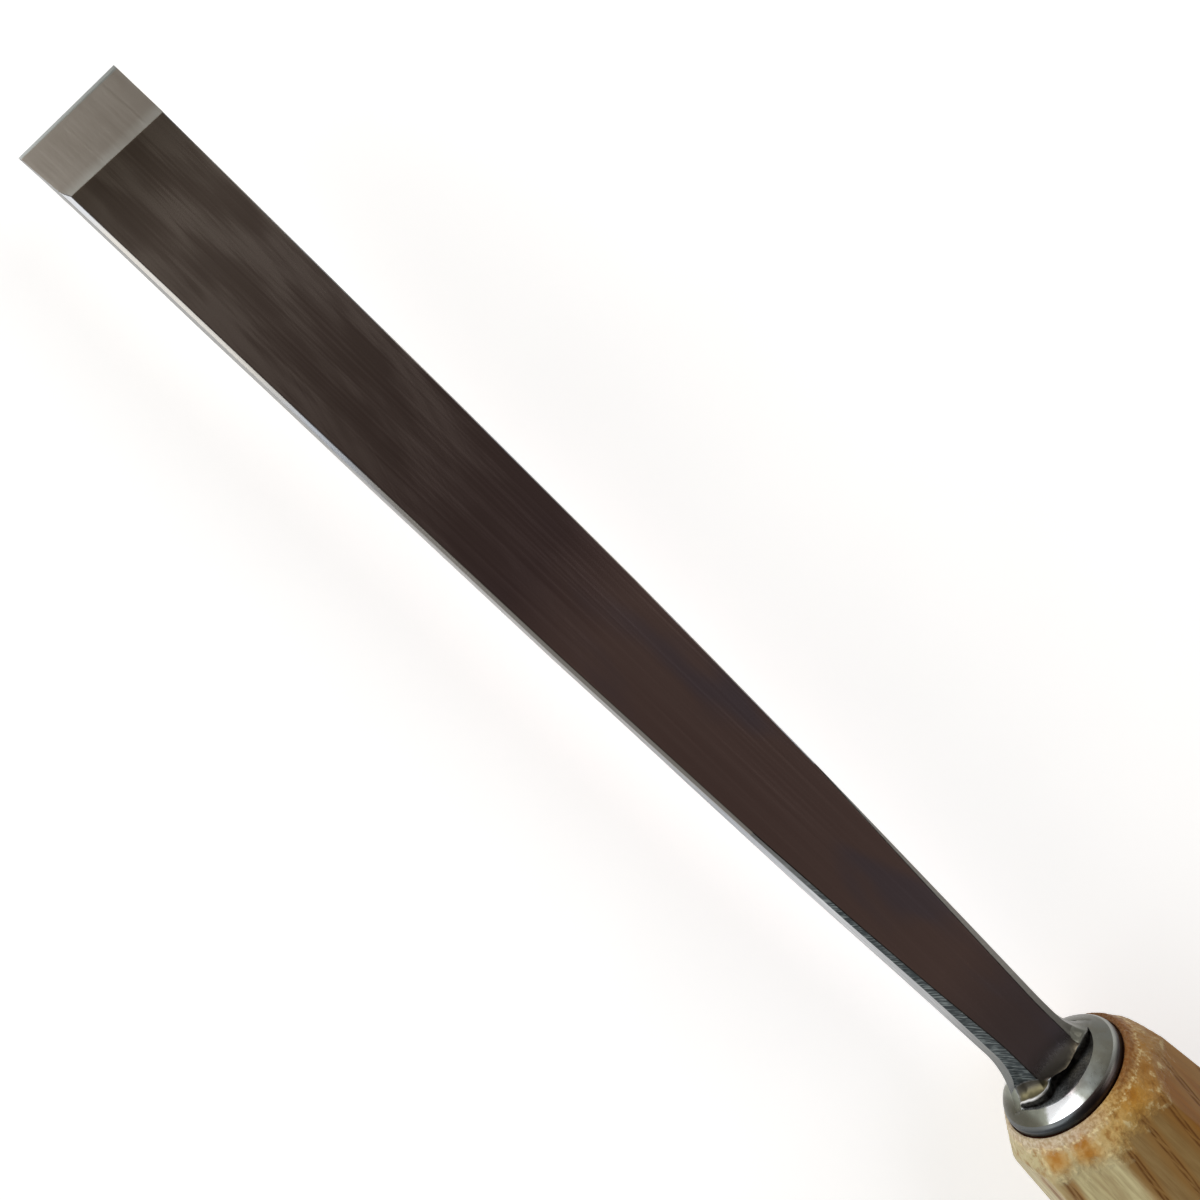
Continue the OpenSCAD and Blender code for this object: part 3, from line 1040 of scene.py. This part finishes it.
# Collar's rim: tones from right to left, and how much painted highlight lies on its shoulder
RIM_REACH = (-7, 7)
RIM_TONES = tones((0, 66, 62, 62), (0.35, 78, 67, 63), (0.6, 72, 62, 61), (0.85, 68, 72, 75))
RIM_SHEEN = tones((0, 240), (0.3, 170), (0.5, 30), (0.8, 0), (0.93, 60), (1, 130))


def rim_steel():
    """Turned rim, dark from handling, with a painted highlight on its shoulder, strong on the right and
    a little on the left.
    """
    s = Material("rim_steel")
    turning = s.noise(s.place(5, 0.4, 0.4), 3)
    across = s.fit(s.axis("Y"), *RIM_REACH)
    handled = s.fit(turning, 0.3, 0.7, 0, 0.4)
    colour = s.mix(handled, s.ramp(across, RIM_TONES), srgb(36, 33, 34))
    # Light grey on the shoulder: a painted highlight.
    shoulder_sheen = s.times(s.mask("wear_and_sheen"), s.ramp(across, RIM_SHEEN))
    colour = s.mix(shoulder_sheen, colour, srgb(158, 160, 154))
    return s.metal(colour, s.fit(turning, 0.3, 0.7, 0.26, 0.38), s.bump(turning, 0.004))


def tang_steel():
    """Forged tang, left dark and scaly."""
    s = Material("tang_steel")
    scale = s.noise(s.place(0.8, 0.8, 0.8), 5, 0.6)
    colour = s.ramp(scale, tones((0.35, 70, 66, 64), (0.65, 110, 108, 106)))
    return s.metal(colour, s.fit(scale, 0.3, 0.7, 0.4, 0.65), s.bump(scale, 0.06))


def ring_steel():
    """Drawn steel ring with turning lines."""
    s = Material("ring_steel")
    lines = s.noise(s.place(6, 0.2, 0.2), 4)
    colour = s.ramp(lines, tones((0.3, 176), (0.7, 204, 204, 202)))
    return s.metal(colour, s.fit(lines, 0.3, 0.7, 0.25, 0.4), s.bump(lines, 0.004))


# Growth rings: spacing, slope, where they straighten, and their lean on the lower half
GRAIN_STEP = 3.3
GRAIN_START = 1.1
GRAIN_SLOPE = 0.17
REAR_SLOPE = 0.045
GRAIN_BEND_X = -22
GRAIN_BEND_LEN = 14
GRAIN_LEAN = 0.5
LEAN_START = 4
GRAIN_WARP = 1.6
# Depth at which one band stays faint, and how far from it the bands come back
FAINT_BAND = 5
FAINT_REACH = (1, 1.6)
# Brown halo of each band and the two dark streaks in it, by shares of the spacing
HALO = tones((0, 255), (0.34, 222), (0.56, 0), (0.84, 0), (1, 255))
STREAKS = tones((0, 0), (0.05, 255), (0.11, 110), (0.17, 255), (0.25, 0))

# Wood's tones from right to left: along the handle, on its end grain, and pale and deep in its crust.
# All are partly painted light, lighter on the lit left side and darker on the shaded right, and partly
# the wood's own colour.
WOOD_REACH = (-9, 9)
WOOD_TONES = tones(
    (0, 154, 112, 58), (0.01, 146, 96, 38), (0.1, 146, 96, 38), (0.22, 150, 106, 50),
    (0.3, 152, 124, 78), (0.76, 158, 132, 88), (0.81, 200, 190, 146), (0.9, 194, 184, 140),
)
FRONT_TONES = tones(
    (0, 156, 122, 78), (0.08, 160, 116, 60), (0.45, 180, 143, 80), (0.7, 190, 160, 102),
    (0.85, 182, 170, 130),
)
CRUST_PALE = tones(
    (0, 184, 156, 116), (0.1, 192, 158, 106), (0.5, 206, 174, 114), (0.85, 208, 194, 174),
)
CRUST_DEEP = tones((0.1, 124, 76, 36), (0.5, 150, 108, 52), (0.85, 164, 140, 112))
# Along the axis: fade to the plain tone, end grain in front and at the butt, crust, reddish-brown edge,
# cream line
PLAIN_FADE = (-14, -45)
FRONT_GRAIN = (-5, -2.4)
BUTT_GRAIN = (1 - HANDLE_LEN, 0.2 - HANDLE_LEN)
CRUST_EDGE = (-1.6, -0.4)
REDDISH_EDGE = (-0.75, -0.1)
REDDISH_RIGHT = (0.45, 0.25)
CREAM_BACK = 0.9
CREAM_FADE = (0.26, 0.04)
# Middles of the brown stains on the front
STAINS = (
    (-1.67, 7.55, 5.25), (-1.23, 4.79, 7.54), (-2.19, 5.08, 8.03),
    (-1.28, -2.22, 8.69), (0, -6, 5.06), (-0.3, -7.8, 1.5),
)
STAIN_WOBBLE = 1.6
STAIN_EDGE = (2.6, 0.8)
STAIN_CORE = (1.2, 0.1)


def stain_reach(s, off):
    """Uneven distance to the nearest stain's middle."""
    point = s.place(1, 1, 1)
    distances = [s.vector("DISTANCE", point, middle).outputs["Value"] for middle in STAINS]
    reach = distances[0]
    for distance in distances[1:]:
        reach = s.math("MINIMUM", reach, distance)
    return s.plus(reach, s.times(off, STAIN_WOBBLE))


def wood_front(s, width, mottle, off):
    """Golden end grain, toned by side partly as painted light, with darker flecks, paler flecks that are
    painted highlights on its lumps, and orange-brown stains.
    """
    # Tones by side, partly painted light: lighter on the lit left, darker on the shaded right.
    gold = s.ramp(width, FRONT_TONES)
    front = s.mix(s.fit(mottle, 0.3, 0.52, 0.75, 0), gold, srgb(142, 96, 38))
    # Paler flecks on the raised lumps: painted highlights.
    front = s.mix(s.fit(mottle, 0.54, 0.7, 0, 0.7), front, srgb(216, 200, 152))
    reach = stain_reach(s, off)
    front = s.mix(s.fit(reach, *STAIN_EDGE, 0, 0.75), front, srgb(176, 128, 52))
    return s.mix(s.fit(reach, *STAIN_CORE, 0, 0.8), front, srgb(160, 104, 28))


def wood_crust(s, colour, width, fine, off, x):
    """Adds the bumpy edge beside the rim, reddish-brown on the right, and a broken cream line behind it.
    """
    bumps = s.fit(fine, 0.32, 0.68)
    crust = s.mix(bumps, s.ramp(width, CRUST_DEEP), s.ramp(width, CRUST_PALE))
    edge = s.fit(s.plus(x, s.times(off, 2)), *CRUST_EDGE, 0, 0.7)
    colour = s.mix(edge, colour, crust)
    reddish_right = s.times(s.fit(s.plus(x, off), *REDDISH_EDGE, 0, 0.7), s.fit(width, *REDDISH_RIGHT))
    colour = s.mix(reddish_right, colour, srgb(116, 70, 32))
    behind = s.math("ABSOLUTE", s.plus(s.plus(x, CREAM_BACK), s.times(off, 0.9)))
    line = s.times(s.fit(behind, *CREAM_FADE), s.fit(fine, 0.44, 0.64, 0, 0.6))
    return s.mix(line, colour, srgb(226, 210, 158))


def grain_depth(s, x, y, z):
    """Place across the growth rings, which straighten to the rear and lean over on the lower half."""
    warp = s.times(s.minus(s.noise(s.place(0.03, 0.1, 0.1), 2), 0.5), GRAIN_WARP)
    lean = s.times(s.math("MINIMUM", s.minus(z, LEAN_START), 0), GRAIN_LEAN)
    front = s.math("SMOOTH_MAX", x, GRAIN_BEND_X, GRAIN_BEND_LEN)
    rear = s.times(s.minus(x, front), REAR_SLOPE)
    slope = s.plus(s.times(front, GRAIN_SLOPE), rear)
    return s.plus(s.plus(y, slope), s.plus(lean, warp))


def wood_bands(s, x, y, z):
    """Brown of the early-wood bands, and the dark broken streaks in them."""
    across = grain_depth(s, x, y, z)
    phase = s.math("FRACT", s.math("DIVIDE", s.minus(across, GRAIN_START), GRAIN_STEP))
    strength = s.fit(s.math("ABSOLUTE", s.minus(across, FAINT_BAND)), *FAINT_REACH, 0.2, 1)
    blotch = s.noise(s.place(0.14, 0.45, 0.45), 3)
    pores = s.fit(s.noise(s.place(0.12, 3, 3), 3), 0.34, 0.54)
    brown = s.times(s.times(s.ramp(phase, HALO), strength), s.fit(blotch, 0.3, 0.6, 0.5, 0.95))
    streak = s.times(s.times(s.ramp(phase, STREAKS), strength), pores)
    return brown, streak


def wood_body(s, x, width, fibre, brown, streak):
    """Wood along the handle: tones by side near the front, partly painted light, one plain tone behind,
    and its bands.
    """
    tone = s.mix(s.fit(x, *PLAIN_FADE), s.ramp(width, WOOD_TONES), srgb(176, 142, 92))
    body = s.mix(s.fit(fibre, 0.3, 0.7, 0.45, 0), tone, srgb(112, 78, 40))
    body = s.mix(brown, body, srgb(148, 110, 60))
    return s.mix(s.times(streak, 0.9), body, srgb(96, 56, 22))


def ash_wood():
    """Lacquered ash: brown bands along the handle, golden and stained end grain in front."""
    s = Material("ash_wood")
    x, y, z = s.axis("X"), s.axis("Y"), s.axis("Z")
    width = s.fit(y, *WOOD_REACH)
    fibre = s.noise(s.place(0.05, 2.2, 2.2), 5, 0.6)
    mottle = s.noise(s.place(0.9, 1, 1), 4, 0.6)
    fine = s.noise(s.place(2.4, 2.6, 2.6), 3, 0.6)
    off = s.minus(mottle, 0.5)
    brown, streak = wood_bands(s, x, y, z)
    body = wood_body(s, x, width, fibre, brown, streak)
    uneven = s.plus(x, s.times(off, 5))
    near = s.math("MAXIMUM", s.fit(uneven, *FRONT_GRAIN), s.fit(x, *BUTT_GRAIN))
    colour = s.mix(near, body, wood_front(s, width, mottle, off))
    colour = wood_crust(s, colour, width, fine, off, x)
    # Dark reddish-brown in the gap beside the rim: painted shade.
    colour = s.mix(s.mask("seam_shade"), colour, srgb(66, 34, 18))
    grain = s.bump(s.minus(s.times(fibre, 0.5), s.times(streak, 0.6)), 0.04)
    lumps = s.times(s.plus(mottle, s.times(fine, 0.6)), near)
    rough = s.fit(streak, 0, 1, 0.38, 0.55)
    normal = s.bump(lumps, 0.12, grain)
    return s.finish(Base_Color=colour, Roughness=rough, Normal=normal, Specular_IOR_Level=0.1)


# Stage

FLOOR_REACH = 6000
FLOOR_DROP = 0.05
FLOOR_GLOW = 0.5
PAPER_TONES = tones((0.3, 236), (0.7, 242))


def floor_material():
    """Pale paper. What the camera and the steel see of it is nearly white and keeps the shadow."""
    s = Material("pale_paper")
    cloud = s.noise(s.place(0.02, 0.02, 0.02), 3)
    s.finish(Base_Color=s.ramp(cloud, PAPER_TONES), Roughness=0.9)
    paths = s.add("LightPath").outputs
    seen = s.plus(s.plus(paths["Is Camera Ray"], paths["Is Glossy Ray"]), paths["Is Transmission Ray"])
    strength = s.times(s.math("MINIMUM", seen, 1), FLOOR_GLOW)
    glow = s.add("Emission", {"Color": (1, 1, 1, 1), "Strength": strength}).outputs[0]
    both = s.add("AddShader", {0: s.surface.outputs[0], 1: glow}).outputs[0]
    s.put(s.tree.nodes["Material Output"].inputs["Surface"], both)
    return s.owner


def add_floor():
    height = CAD_BOX[0].z - FLOOR_DROP * MM
    reach = FLOOR_REACH * MM
    sides = ((-reach, -reach), (reach, -reach), (reach, reach), (-reach, reach))
    mesh = bpy.data.meshes.new("floor")
    mesh.from_pydata([(x, y, height) for x, y in sides], [], [(0, 1, 2, 3)])
    floor = bpy.data.objects.new("floor", mesh)
    bpy.context.scene.collection.objects.link(floor)
    mesh.materials.append(floor_material())


# Sky's tones from straight below its pole, at nought, to the pole overhead, at one
SKY_POLE = Vector((-0.1, -0.12, 0.985)).normalized()
SKY_TONES = (
    (0, (0.9, 0.9, 0.9, 1)), (0.5, (0.85, 0.85, 0.85, 1)), (0.62, (0.66, 0.66, 0.66, 1)),
    (0.795, (0.34, 0.315, 0.28, 1)), (0.88, (0.17, 0.15, 0.135, 1)),
    (0.955, (0.072, 0.06, 0.053, 1)), (0.99, (0.05, 0.039, 0.036, 1)),
)


def add_world():
    """Sky that is pale at the horizon and a dark room overhead."""
    world = bpy.data.worlds.new("room")
    s = Nodes(world)
    direction = s.add("TexCoord").outputs["Generated"]
    towards = s.vector("DOT_PRODUCT", direction, SKY_POLE).outputs["Value"]
    share = s.add("MapRange", {"Value": towards, "From Min": -1}).outputs["Result"]
    s.put(s.tree.nodes["Background"].inputs["Color"], s.ramp(share, SKY_TONES))
    bpy.context.scene.world = world


# Lamps: the point they face, and their sizes and distances, in metres
LAMP_AIM = Vector((0.06, 0, 0))
# Name, azimuth from +X towards +Y, elevation, distance, width, height, brightness
LAMPS = (
    ("window", 40, 20, 0.9, 1.56, 0.64, 2.3),
    ("fill", 262, 46, 0.9, 0.7, 0.6, 1.6),
)


def add_lamp(name, azimuth, elevation, distance, width, height, brightness):
    """Soft box that faces the object. Brightness one looks white."""
    turn, lift = math.radians(azimuth), math.radians(elevation)
    away = Vector((math.cos(lift) * math.cos(turn), math.cos(lift) * math.sin(turn), math.sin(lift)))
    data = bpy.data.lights.new(name, "AREA")
    data.shape = "RECTANGLE"
    data.size, data.size_y = width, height
    data.energy = brightness * math.pi * width * height
    lamp = bpy.data.objects.new(name, data)
    lamp.location = LAMP_AIM + away * distance
    lamp.rotation_euler = away.to_track_quat("Z", "Y").to_euler()
    lamp.visible_camera = False
    bpy.context.scene.collection.objects.link(lamp)


def add_camera():
    place, aim = Vector(CAMERA_PLACE) * MM, Vector(CAMERA_AIM) * MM
    forward = (aim - place).normalized()
    level = forward.cross(Vector((0, 0, 1))).normalized()
    upright = level.cross(forward)
    right = level * math.cos(CAMERA_ROLL) - upright * math.sin(CAMERA_ROLL)
    up = right.cross(forward)
    data = bpy.data.cameras.new("camera")
    data.sensor_width = SENSOR_WIDTH
    data.lens = SENSOR_WIDTH * FOCAL_PIXELS / PHOTO_WIDTH
    data.clip_start = CLIP_START
    camera = bpy.data.objects.new("camera", data)
    camera.matrix_world = Matrix.Translation(place) @ Matrix((right, up, -forward)).transposed().to_4x4()
    bpy.context.scene.collection.objects.link(camera)
    bpy.context.scene.camera = camera


blade_piece = add_blade()
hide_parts("blade")
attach(blade_piece, "root")
handle_piece = add_handle()
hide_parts("handle")
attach(handle_piece, "root")
ring_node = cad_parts["inner_ferrule"]
ring_node.data.materials.clear()
ring_node.data.materials.append(ring_steel())
add_floor()
add_world()
for lamp_values in LAMPS:
    add_lamp(*lamp_values)
add_camera()
bpy.context.scene.view_settings.view_transform = "Standard"
